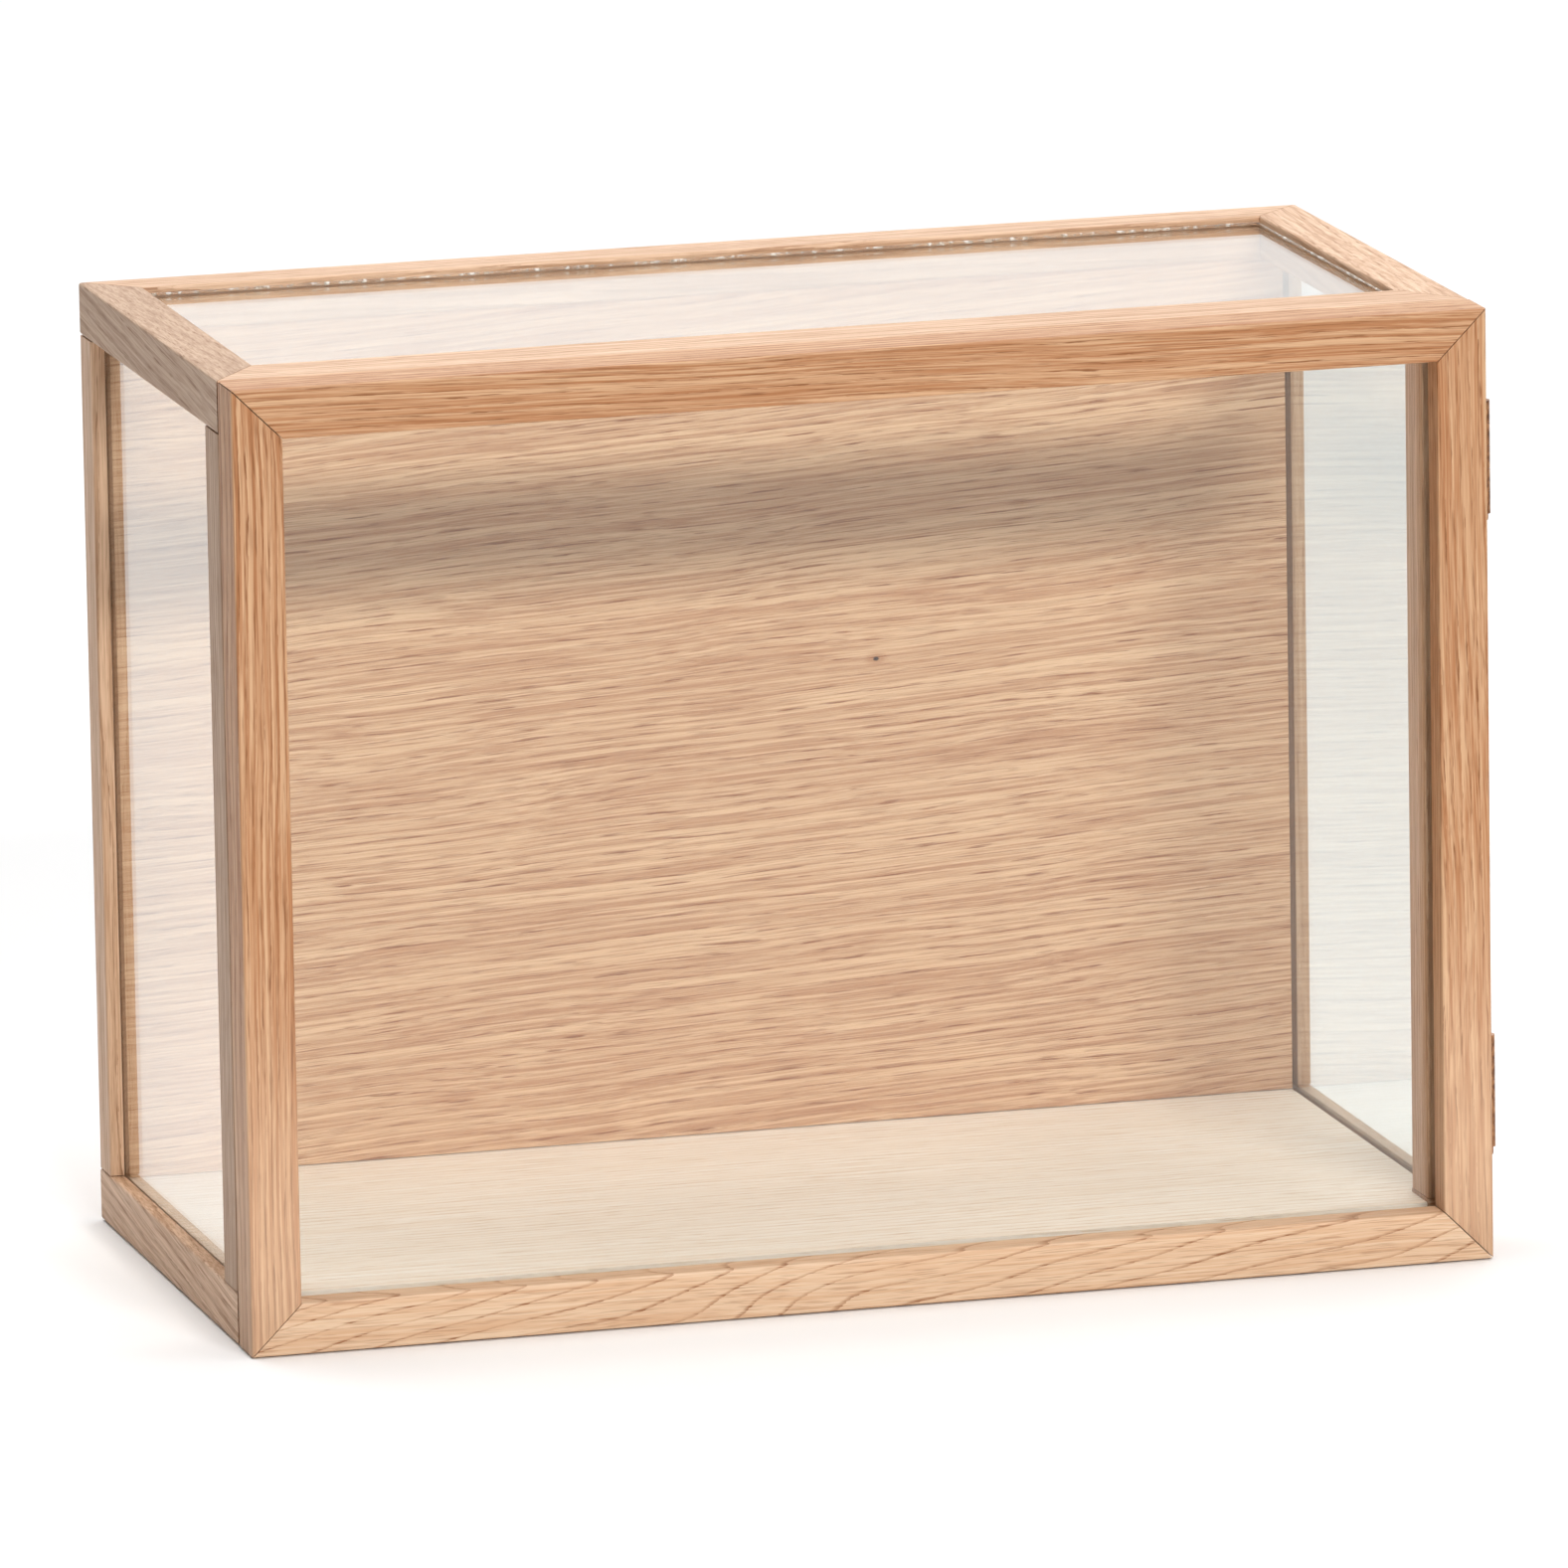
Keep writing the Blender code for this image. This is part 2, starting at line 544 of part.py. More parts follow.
def hanger(side_name, x, rail):
    """A keyhole plate let into the back of the upper rear rail, with a pocket behind it."""
    half_length, half_height = HANGER_LENGTH / 2, HANGER_HEIGHT / 2
    outer_face = -FIT_GAP
    inner_face = outer_face - HANGER_THICKNESS
    plate = box("hanger_" + side_name, (x - half_length, inner_face, -half_height),
                (x + half_length, outer_face, half_height), STEEL,
                rounded=lambda direction, middle: abs(direction.y) > ALONG, radius=HANGER_CORNER)
    recess = box("recess_hanger_" + side_name,
                 (x - half_length - FIT_GAP, inner_face - FIT_GAP, -half_height - FIT_GAP),
                 (x + half_length + FIT_GAP, THROUGH, half_height + FIT_GAP))
    pocket_half = Vector((HANGER_POCKET_WIDTH / 2, 0, HANGER_POCKET_HEIGHT / 2))
    pocket = box("pocket_hanger_" + side_name,
                 Vector((x, -HANGER_POCKET_DEPTH, 0)) - pocket_half,
                 Vector((x, -FIT_GAP, 0)) + pocket_half)
    cut([rail], [recess, pocket])

    plate_middle = (outer_face + inner_face) / 2
    deep = HANGER_THICKNESS + 2 * THROUGH
    keyhole = cylinder("keyhole_" + side_name, (x, plate_middle, -KEYHOLE_DROP), Y_AXIS,
                       KEYHOLE_RADIUS, deep, ROUND_SEGMENTS)
    slot_end = cylinder("keyslot_end_" + side_name, (x, plate_middle, KEYSLOT_RISE), Y_AXIS,
                        KEYSLOT_RADIUS, deep, SMALL_SEGMENTS)
    slot = box("keyslot_" + side_name,
               (x - KEYSLOT_RADIUS, plate_middle - deep / 2, -KEYHOLE_DROP),
               (x + KEYSLOT_RADIUS, plate_middle + deep / 2, KEYSLOT_RISE))
    cut([plate], [keyhole, slot, slot_end])
    for number, step in ((1, -0.5), (2, 0.5)):
        screw("hanger_" + side_name + "_screw_" + str(number),
              (x + step * HANGER_SCREW_SPACING, outer_face, 0), Y_AXIS, HANGER_SCREW_LENGTH,
              [plate, rail])


def catches(carcass_stile, door_stile, door_axis):
    """Two magnets in the left front stile, and the steel discs in the door that meet them."""
    x = -SIDE + MAGNET_FROM_SIDE
    for label, height in (("upper", TOP - MAGNET_FROM_END), ("lower", BOTTOM + MAGNET_FROM_END)):
        magnet_middle = CARCASS_FRONT + FIT_GAP + MAGNET_DEPTH / 2
        cylinder("magnet_" + label, (x, magnet_middle, height), Y_AXIS, MAGNET_RADIUS,
                 MAGNET_DEPTH, ROUND_SEGMENTS, MAGNET_NICKEL, easing=MAGNET_CHAMFER)
        socket = cylinder("socket_magnet_" + label, (x, CARCASS_FRONT, height), Y_AXIS,
                          MAGNET_RADIUS + MAGNET_CLEARANCE, 2 * (MAGNET_DEPTH + 2 * FIT_GAP),
                          ROUND_SEGMENTS)
        cut([carcass_stile], [socket])
        strike_middle = DOOR_BACK - FIT_GAP - STRIKE_DEPTH / 2
        cylinder("strike_" + label, (x, strike_middle, height), Y_AXIS, MAGNET_RADIUS,
                 STRIKE_DEPTH, ROUND_SEGMENTS, STEEL, door_axis, easing=MAGNET_CHAMFER)
        socket = cylinder("socket_strike_" + label, (x, DOOR_BACK, height), Y_AXIS,
                          MAGNET_RADIUS + MAGNET_CLEARANCE, 2 * (STRIKE_DEPTH + 2 * FIT_GAP),
                          ROUND_SEGMENTS)
        cut([door_stile], [socket])


# ---- Door -----------------------------------------------------------------------------------
def door(door_axis):
    """The mitred door frame with its pane, held by a bead of silicone. Returns the members."""
    middle_y = (FRONT + DOOR_BACK) / 2
    middle_z = (TOP + BOTTOM) / 2
    mitres = (DOOR_MEMBER, DOOR_MEMBER)
    rail_sizes = (WIDTH, DOOR_MEMBER, DOOR_THICKNESS)
    stile_sizes = (HEIGHT, DOOR_MEMBER, DOOR_THICKNESS)
    members = {
        "top": mitred_member("door_rail_top", (0, middle_y, TOP), X_AXIS, -Z_AXIS,
                             rail_sizes, mitres, OAK, door_axis),
        "bottom": mitred_member("door_rail_bottom", (0, middle_y, BOTTOM), X_AXIS, Z_AXIS,
                                rail_sizes, mitres, OAK, door_axis),
        "left": mitred_member("door_stile_left", (-SIDE, middle_y, middle_z), Z_AXIS, X_AXIS,
                              stile_sizes, mitres, OAK, door_axis),
        "right": mitred_member("door_stile_right", (SIDE, middle_y, middle_z), Z_AXIS, -X_AXIS,
                               stile_sizes, mitres, OAK, door_axis),
    }
    rebate_side = SIDE - DOOR_MEMBER + DOOR_REBATE
    rebate_low = BOTTOM + DOOR_MEMBER - DOOR_REBATE
    rebate_high = TOP - DOOR_MEMBER + DOOR_REBATE
    pane_front = FRONT + DOOR_PANE_INSET
    rebate = box("rebate_door_pane", (-rebate_side, pane_front - FIT_GAP, rebate_low),
                 (rebate_side, DOOR_BACK + THROUGH, rebate_high))
    cut(members.values(), [rebate])
    play = DOOR_PANE_PLAY
    box("door_pane", (-rebate_side + play, pane_front, rebate_low + play),
        (rebate_side - play, pane_front + GLASS, rebate_high - play), CLEAR_GLASS, door_axis)

    inset = BEAD_GAP + DOOR_BEAD_RADIUS
    y = pane_front + GLASS + inset
    corners = [
        (-rebate_side + inset, y, rebate_low + inset),
        (rebate_side - inset, y, rebate_low + inset),
        (rebate_side - inset, y, rebate_high - inset),
        (-rebate_side + inset, y, rebate_high - inset),
    ]
    bead("door_pane_bead", corners, DOOR_BEAD_RADIUS, door_axis)
    return members


def main():
    door_axis = bpy.data.objects.new("door_axis", None)
    door_axis.location = (HINGE_X, HINGE_Y, (TOP + BOTTOM) / 2)
    PARTS.objects.link(door_axis)

    top_frame = horizontal_frame("top", TOP - RAIL_HEIGHT / 2)
    bottom_frame = horizontal_frame("bottom", BOTTOM + RAIL_HEIGHT / 2)
    posts = stiles()
    for side_name, side in (("left", -1), ("right", 1)):
        side_pane(side_name, side, top_frame, bottom_frame, posts)
    top_pane(top_frame)
    back_panel(posts)
    bottom_board(bottom_frame)
    dowels(top_frame, bottom_frame, posts)

    door_members = door(door_axis)
    catches(posts["front", "left"], door_members["left"], door_axis)
    hinge_bottoms = (("upper", TOP - HINGE_INSET - HINGE_LENGTH), ("lower", BOTTOM + HINGE_INSET))
    for label, bottom in hinge_bottoms:
        hinge(label, bottom, posts["front", "right"], door_members["right"], door_axis)
    for side_name, side in (("left", -1), ("right", 1)):
        hanger(side_name, side * HANGER_SPACING / 2, top_frame["rear"])


main()
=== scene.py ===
"""A small wall showcase of pale oak and clear glass, with a glazed door hung on its right side.

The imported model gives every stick, pane and hinge. This script gives them their finishes, lays
the silicone round the panes, and sets the floor, the light and the camera.
"""

import math

import bmesh
import bpy
from mathutils import Euler, Matrix, Vector, noise


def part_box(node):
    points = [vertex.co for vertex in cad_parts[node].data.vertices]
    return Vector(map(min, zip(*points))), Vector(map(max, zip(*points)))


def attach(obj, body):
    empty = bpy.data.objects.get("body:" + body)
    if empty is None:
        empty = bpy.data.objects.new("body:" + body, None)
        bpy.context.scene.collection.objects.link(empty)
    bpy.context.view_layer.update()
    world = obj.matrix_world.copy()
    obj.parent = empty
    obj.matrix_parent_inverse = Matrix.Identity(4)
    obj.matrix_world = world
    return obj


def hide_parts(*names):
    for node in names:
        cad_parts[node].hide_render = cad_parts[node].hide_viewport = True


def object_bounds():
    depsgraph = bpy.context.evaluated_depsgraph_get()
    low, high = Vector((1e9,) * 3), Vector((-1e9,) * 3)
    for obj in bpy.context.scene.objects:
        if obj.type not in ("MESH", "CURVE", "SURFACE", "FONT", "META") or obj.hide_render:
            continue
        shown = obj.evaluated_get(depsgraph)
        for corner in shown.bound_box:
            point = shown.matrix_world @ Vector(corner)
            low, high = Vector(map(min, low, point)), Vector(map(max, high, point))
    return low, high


MM = 0.001

# The camera stands off to the left and a little above, far away behind a long lens.
CAMERA_PLACE = (-1.4431, -5.3483, 0.9850)
CAMERA_YAW = 15.371
CAMERA_PITCH = 11.753
CAMERA_ROLL = -0.945
CAMERA_LENS = 407.0
CAMERA_SENSOR = 36.0

# How far each pattern in oak runs along the grain and across it, in mm, and how finely it breaks
# up. Real pores and fibres are 0.1 to 0.3 mm wide. These are too fine to show in the render, so
# they are drawn as coarse as they need to be to show.
GROWTH = {
    "bend": (110.0, 30.0, 1.0),
    "clouds": (70.0, 9.0, 1.0),
    "streaks": (170.0, 1.6, 3.0),
    "fibres": (48.0, 0.46, 3.0),
    "pores": (15.0, 0.40, 1.0),
    "flecks": (4.0, 0.6, 1.0),
}
BEND_REACH = 5.0 * MM         # how far the fibres wander sideways
SWAY = 130.0 * MM             # how far the leaning rings surge and lag along a stick
RING_FRAY = 0.6 * MM          # how far the flecks push a ring's edge to and fro
LOG_STEP = 0.731              # metres from one stick's place in the log to the next one's

# Noise stays mostly near 0.5. Each pair says at what noise a pattern starts and where it is full.
CLOUD_EDGES = (0.3, 0.7)
PORE_EDGES = (0.54, 0.66)
STREAK_EDGES = (0.32, 0.68)
FIBRE_EDGES = (0.3, 0.7)

# How strongly each pattern moves the tone, from sapwood (0) to heartwood (1), or darkens it.
STREAK_TONE = (-0.1, 0.75)
FIBRE_TONE = (-0.5, 0.5)
YEAR_TONE = 0.3
RING_TONE = 0.9
RING_DARK = 0.55
PORE_DARK = 0.9

# Oak colours, from sapwood to heartwood and the open pores.
DOOR_OAK = ("C9A07A", "A87148", "84532F")
CARCASS_OAK = ("DCBA9C", "B88F6E", "A0785A")
# A darker, greyer copy of the carcass oak: painted shade on the left-hand sticks, whose side faces
# are in shade.
PAINTED_SHADE_OAK = ("BE9F84", "A17E62", "8C6A50")
VENEER_OAK = ("E3BE9A", "BF8F6B", "8E5632")
# The bottom board: the veneer's own colour, painted near-white as painted light from above.
PAINTED_LIGHT_BOARD_OAK = ("FCF5EC", "F3E6D6", "D8C0A4")
FLAT_SAWN_OAK = ("DEC0A1", "D0A885", "905F3C")

# Each stick: its grain's axis, how far the whole grain leans (degrees), the heart of the log seen
# from its middle (mm, in the two directions across the grain), how the rings climb along it, the
# ring width (mm), the share of a ring that is early wood, how strongly that shows, and its colours.
STICKS = {
    "door_rail_top": ("x", -1, (38, 52), (0.00, -0.01), 1.9, 0.45, 0.55, DOOR_OAK),
    "door_rail_bottom": ("x", 0, (9, 75), (0.03, -0.22), 5.6, 0.14, 1.20, FLAT_SAWN_OAK),
    "door_stile_left": ("z", 0, (24, 60), (0.00, 0.01), 2.3, 0.50, 0.80, DOOR_OAK),
    "door_stile_right": ("z", 1, (-46, 38), (0.00, -0.01), 1.8, 0.45, 0.45, DOOR_OAK),
    "top_rail_front": ("x", 0, (55, 22), (0.01, 0.00), 2.6, 0.45, 0.60, CARCASS_OAK),
    "top_rail_rear": ("x", 1, (48, -30), (-0.03, 0.01), 2.6, 0.35, 0.75, CARCASS_OAK),
    # Painted shade: this left-hand stick takes the darker, greyer oak.
    "top_rail_left": ("y", 5, (44, 36), (0.00, 0.00), 3.0, 0.40, 0.40, PAINTED_SHADE_OAK),
    "top_rail_right": ("y", 3, (-42, 30), (0.02, 0.00), 2.5, 0.45, 0.50, CARCASS_OAK),
    "bottom_rail_front": ("x", 0, (-50, 26), (0.01, 0.01), 2.5, 0.45, 0.55, CARCASS_OAK),
    "bottom_rail_rear": ("x", 0, (44, 40), (0.00, 0.01), 2.2, 0.45, 0.55, CARCASS_OAK),
    "bottom_rail_left": ("y", 6, (36, -44), (0.00, 0.00), 3.0, 0.40, 0.55, CARCASS_OAK),
    "bottom_rail_right": ("y", 0, (-36, -40), (0.00, 0.02), 2.4, 0.45, 0.55, CARCASS_OAK),
    # Painted shade: this left-hand stick takes the darker, greyer oak.
    "stile_front_left": ("z", 0, (52, 30), (0.01, 0.00), 2.0, 0.45, 0.55, PAINTED_SHADE_OAK),
    "stile_front_right": ("z", 0, (50, -34), (0.00, 0.00), 2.1, 0.45, 0.55, CARCASS_OAK),
    "stile_rear_left": ("z", 0, (58, 24), (0.00, 0.00), 2.3, 0.45, 0.60, CARCASS_OAK),
    "stile_rear_right": ("z", 0, (46, -40), (0.01, 0.00), 2.2, 0.45, 0.55, CARCASS_OAK),
    "back_panel": ("x", 3, (60, 210), (0.02, 0.00), 2.7, 0.35, 0.45, VENEER_OAK),
    # Painted light: the bottom board takes the near-white oak.
    "bottom_board": ("x", 0, (190, 70), (0.01, 0.00), 3.4, 0.50, 0.60, PAINTED_LIGHT_BOARD_OAK),
}
# Turns a stick's own grain onto X.
GRAIN_TURN = {"x": (0, 0, 0), "y": (0, 0, -90), "z": (0, 90, 0)}

# A pin knot in the back panel's veneer: its place on the panel's face, and its radius.
KNOT_PLACE = Vector((54.1, -14.0, -127.2)) * MM
KNOT_RADIUS = 0.8 * MM

# The sticks whose lower end is painted paler, as painted bounce light from the floor, and the
# heights where that starts and is full.
PAINTED_BOUNCE_STILES = ("door_stile_left", "door_stile_right")
PAINTED_BOUNCE_FROM, PAINTED_BOUNCE_FULL = -150.0 * MM, -270.0 * MM
PAINTED_BOUNCE_SHARE = 0.20

BEAD_STEP = 1.6 * MM          # distance between the rings of a silicone bead
BEAD_SIDES = 10
BEAD_CORNER = 2.5 * MM
BEAD_TURNS = 5                # points round each corner of a bead
BEAD_LUMP = 9.0 * MM          # length of the swells that a hand-held nozzle leaves
BEAD_DRIFT = 4 * BEAD_LUMP    # length of the slower swells, where the hand speeds up or slows
BEAD_FILL = 0.80              # the bead's usual share of the room that it has
LUMP_SHARE, DRIFT_SHARE = 0.35, 0.2

FLOOR_REACH = 30.0
FLOOR_SQUARES = 8
FLOOR_GAP = 0.5 * MM

# The lamps: each one's place, the point that it faces (None is the case's middle), its width and
# height in metres, and its power in watts.
SOFTBOXES = {
    "key_softbox": ((0.6, -6.7, 3.1), None, 2.8, 0.66, 400),
    "rear_sheet": ((0.3, 3.1, 3.0), (0.3, 3.1, 0.0), 6.0, 6.0, 166),
    "left_softbox": ((-0.7, 0.4, 1.3), (-0.7, 0.4, 0.0), 0.9, 0.9, 3),
    "top_softbox": ((0.1, -0.28, 1.2), (0.1, -0.28, 0.0), 1.1, 0.6, 9.5),
    "low_bounce_card": ((0.0, -0.30, -0.285), (0.0, -0.30, 1.0), 0.9, 0.16, 0.2),
}


def linear(code):
    """An sRGB hex colour as linear RGBA."""
    shares = [int(code[i:i + 2], 16) / 255 for i in (0, 2, 4)]
    return (*(s / 12.92 if s <= 0.04045 else ((s + 0.055) / 1.055) ** 2.4 for s in shares), 1.0)


def add(tree, kind, inputs=(), **settings):
    """Adds a node with its settings, fills or links its inputs, and returns its first output."""
    node = tree.nodes.new(kind)
    for name, value in settings.items():
        setattr(node, name, value)
    live = [s for s in node.inputs if s.enabled]
    for key, value in dict(inputs).items():
        target = live[key] if isinstance(key, int) else next(s for s in live if s.name == key)
        if isinstance(value, bpy.types.NodeSocket):
            tree.links.new(value, target)
        else:
            target.default_value = value
    return next((s for s in node.outputs if s.enabled), None)


def new_material(name):
    """An empty material and its node tree."""
    material = bpy.data.materials.new(name)
    material.use_nodes = True
    material.node_tree.nodes.clear()
    return material, material.node_tree


def dress(node_name, material):
    """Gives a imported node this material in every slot."""
    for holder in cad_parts[node_name].material_slots:
        holder.material = material


def oak_timber():
    """Oak as it grows: yearly rings round a heart, pores in the early wood, fibres and streaks.

    Grain is in metres, with X along the fibres and Y and Z measured from the heart of the log.
    """
    tree = bpy.data.node_groups.new("oak_timber", "ShaderNodeTree")
    for name, kind in (("Grain", "Vector"), ("Slope", "Vector"), ("Sapwood", "Color"),
                       ("Heartwood", "Color"), ("Pore", "Color"), ("Ring", "Float"),
                       ("Early", "Float"), ("Figure", "Float")):
        tree.interface.new_socket(name, in_out="INPUT", socket_type="NodeSocket" + kind)
    for name, kind in (("Colour", "Color"), ("Roughness", "Float"), ("Height", "Float")):
        tree.interface.new_socket(name, in_out="OUTPUT", socket_type="NodeSocket" + kind)
    given = tree.nodes.new("NodeGroupInput").outputs
    straight = given["Grain"]

    # The fibres wander sideways by a few millimetres, and every other pattern goes with them.
    pattern = {}
    wandering = straight
    for name, (length, width, detail) in GROWTH.items():
        stretched = add(tree, "ShaderNodeVectorMath",
                        {0: wandering, 1: (1 / (length * MM), 1 / (width * MM), 1 / (width * MM))},
                        operation="MULTIPLY")
        pattern[name] = add(tree, "ShaderNodeTexNoise",
                            {"Vector": stretched, "Scale": 1.0, "Detail": detail})
        if name == "bend":
            sideways = add(tree, "ShaderNodeVectorMath",
                           {0: (0.0, BEND_REACH, BEND_REACH), "Scale": pattern["bend"]},
                           operation="SCALE")
            wandering = add(tree, "ShaderNodeVectorMath", {0: straight, 1: sideways},
                            operation="ADD")

    # The rings lean along the stick by Slope, and the short flecks fray their edges.
    distance = add(tree, "ShaderNodeSeparateXYZ", {0: straight})
    along = add(tree, "ShaderNodeMath", {0: pattern["bend"], 1: SWAY, 2: distance},
                operation="MULTIPLY_ADD")
    leaning = add(tree, "ShaderNodeVectorMath", {0: given["Slope"], "Scale": along},
                  operation="SCALE")
    leant = add(tree, "ShaderNodeVectorMath", {0: wandering, 1: leaning}, operation="ADD")
    across = add(tree, "ShaderNodeVectorMath", {0: leant, 1: (0, 1, 1)}, operation="MULTIPLY")
    radius = add(tree, "ShaderNodeVectorMath", {0: across}, operation="LENGTH")
    frayed = add(tree, "ShaderNodeMath",
                 {0: pattern["flecks"], 1: RING_FRAY, 2: radius}, operation="MULTIPLY_ADD")
    years = add(tree, "ShaderNodeMath", {0: frayed, 1: given["Ring"]}, operation="DIVIDE")
    season = add(tree, "ShaderNodeMath", {0: years}, operation="FRACT")
    whole_years = add(tree, "ShaderNodeMath", {0: years}, operation="FLOOR")
    year_tone = add(tree, "ShaderNodeTexWhiteNoise", {"W": whole_years}, noise_dimensions="1D")
    early = add(tree, "ShaderNodeMapRange",
                {"Value": season, "From Min": given["Early"], "From Max": 0.0})
    shown = add(tree, "ShaderNodeMath", {0: early, 1: given["Figure"]}, operation="MULTIPLY")
    uneven = add(tree, "ShaderNodeMapRange",
                 {"Value": pattern["clouds"], "From Min": CLOUD_EDGES[0],
                  "From Max": CLOUD_EDGES[1], "To Min": 0.35})
    ring_line = add(tree, "ShaderNodeMath", {0: shown, 1: uneven}, operation="MULTIPLY")

    # Open pores: short dark dashes, thick in the early wood and sparse in the late wood.
    pore_shape = add(tree, "ShaderNodeMapRange",
                     {"Value": pattern["pores"], "From Min": PORE_EDGES[0],
                      "From Max": PORE_EDGES[1]}, interpolation_type="SMOOTHSTEP")
    pore_room = add(tree, "ShaderNodeMapRange", {"Value": early, "From Max": 0.8, "To Min": 0.4})
    pores = add(tree, "ShaderNodeMath", {0: pore_shape, 1: pore_room}, operation="MULTIPLY")

    # Tone from sapwood (0) to heartwood (1).
    streaked = add(tree, "ShaderNodeMapRange",
                   {"Value": pattern["streaks"], "From Min": STREAK_EDGES[0],
                    "From Max": STREAK_EDGES[1], "To Min": STREAK_TONE[0],
                    "To Max": STREAK_TONE[1]})
    aged = add(tree, "ShaderNodeMath", {0: year_tone, 1: YEAR_TONE, 2: streaked},
               operation="MULTIPLY_ADD")
    lined = add(tree, "ShaderNodeMath", {0: ring_line, 1: RING_TONE, 2: aged},
                operation="MULTIPLY_ADD")
    fibrous = add(tree, "ShaderNodeMapRange",
                  {"Value": pattern["fibres"], "From Min": FIBRE_EDGES[0],
                   "From Max": FIBRE_EDGES[1], "To Min": FIBRE_TONE[0], "To Max": FIBRE_TONE[1]})
    tone = add(tree, "ShaderNodeMath", {0: lined, 1: fibrous}, operation="ADD")
    body = add(tree, "ShaderNodeMix",
               {"Factor": tone, "A": given["Sapwood"], "B": given["Heartwood"]},
               data_type="RGBA")
    line_share = add(tree, "ShaderNodeMath", {0: ring_line, 1: RING_DARK}, operation="MULTIPLY")
    dark_share = add(tree, "ShaderNodeMath", {0: pores, 1: PORE_DARK, 2: line_share},
                     operation="MULTIPLY_ADD")
    colour = add(tree, "ShaderNodeMix",
                 {"Factor": dark_share, "A": body, "B": given["Pore"]}, data_type="RGBA")

    # Fibres stand a little proud and shine less; pores are sunk, and shine least.
    dull = add(tree, "ShaderNodeMath", {0: pattern["fibres"], 1: 0.18, 2: 0.40},
               operation="MULTIPLY_ADD")
    rough = add(tree, "ShaderNodeMath", {0: pores, 1: 0.2, 2: dull}, operation="MULTIPLY_ADD")
    raised = add(tree, "ShaderNodeMath", {0: pattern["fibres"], 1: 0.35}, operation="MULTIPLY")
    height = add(tree, "ShaderNodeMath", {0: raised, 1: pores}, operation="SUBTRACT")
    add(tree, "NodeGroupOutput", {"Colour": colour, "Roughness": rough, "Height": height})
    return tree


def painted_bounce_foot(tree, colour, point):
    """The low end of a door stile, painted paler: painted bounce light from the floor."""
    height = add(tree, "ShaderNodeSeparateXYZ", {0: point}).node.outputs["Z"]
    painted_bounce = add(tree, "ShaderNodeMapRange",
               {"Value": height, "From Min": PAINTED_BOUNCE_FROM, "From Max": PAINTED_BOUNCE_FULL,
                "To Max": PAINTED_BOUNCE_SHARE}, interpolation_type="SMOOTHSTEP")
    return add(tree, "ShaderNodeMix", {"Factor": painted_bounce, "A": colour, "B": linear("F3DCC2")},
               data_type="RGBA")


def knot(tree, colour, point, place, radius):
    """A pin knot: a dark brown eye in a warmer ring, drawn out a little along the grain."""
    centred = add(tree, "ShaderNodeVectorMath", {0: point, 1: place}, operation="SUBTRACT")
    oval = add(tree, "ShaderNodeVectorMath", {0: centred, 1: (0.7, 1.0, 1.0)}, operation="MULTIPLY")
    distance = add(tree, "ShaderNodeVectorMath", {0: oval}, operation="LENGTH")
    halo = add(tree, "ShaderNodeMapRange",
               {"Value": distance, "From Min": radius, "From Max": 4 * radius, "To Min": 0.45,
                "To Max": 0.0}, interpolation_type="SMOOTHSTEP")
    eye = add(tree, "ShaderNodeMapRange",
              {"Value": distance, "From Min": 0.5 * radius, "From Max": 1.1 * radius,
               "To Min": 1.0, "To Max": 0.0}, interpolation_type="SMOOTHSTEP")
    warmed = add(tree, "ShaderNodeMix", {"Factor": halo, "A": colour, "B": linear("A86F45")},
                 data_type="RGBA")
    return add(tree, "ShaderNodeMix", {"Factor": eye, "A": warmed, "B": linear("2E1206")},
               data_type="RGBA")


def oak(name, stick, index, timber):
    """Planed oak with a thin satin oil: the pores stay open, and it shines softly at low angles.

    Index is the stick's number, which sets its place in the log.
    """
    axis, lean, heart, slope, ring, early, figure, colours = stick
    low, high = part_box(name)
    middle = (Vector(low) + Vector(high)) / 2
    straight = Euler([math.radians(angle) for angle in GRAIN_TURN[axis]]).to_matrix()
    turn = Matrix.Rotation(math.radians(lean), 3, "Y") @ straight
    place_in_log = Vector((index * LOG_STEP, heart[0] * MM, heart[1] * MM))
    material, tree = new_material(name + "_oak")
    point = add(tree, "ShaderNodeTexCoord").node.outputs["Object"]
    grain = add(tree, "ShaderNodeMapping",
                {"Vector": point, "Rotation": turn.to_euler(),
                 "Location": place_in_log - turn @ middle})
    # The slope turns about the stick's middle, so that it doesn't shift the rings there.
    shift = Vector((0.0, *slope)) * place_in_log.x
    centred = add(tree, "ShaderNodeVectorMath", {0: grain, 1: shift}, operation="SUBTRACT")
    wood = add(tree, "ShaderNodeGroup",
               {"Grain": centred, "Slope": (0.0, *slope), "Sapwood": linear(colours[0]),
                "Heartwood": linear(colours[1]), "Pore": linear(colours[2]), "Ring": ring * MM,
                "Early": early, "Figure": figure}, node_tree=timber).node.outputs
    colour = wood["Colour"]
    if name == "back_panel":
        colour = knot(tree, colour, point, KNOT_PLACE, KNOT_RADIUS)
    # Painted bounce light: the door stiles are painted paler towards their feet.
    if name in PAINTED_BOUNCE_STILES:
        colour = painted_bounce_foot(tree, colour, point)
    relief = add(tree, "ShaderNodeBump",
                 {"Height": wood["Height"], "Strength": 0.35, "Distance": 0.12 * MM})
    surface = add(tree, "ShaderNodeBsdfPrincipled",
                  {"Base Color": colour, "Roughness": wood["Roughness"], "IOR": 1.5,
                   "Specular IOR Level": 0.3, "Normal": relief})
    add(tree, "ShaderNodeOutputMaterial", {"Surface": surface})
    return material


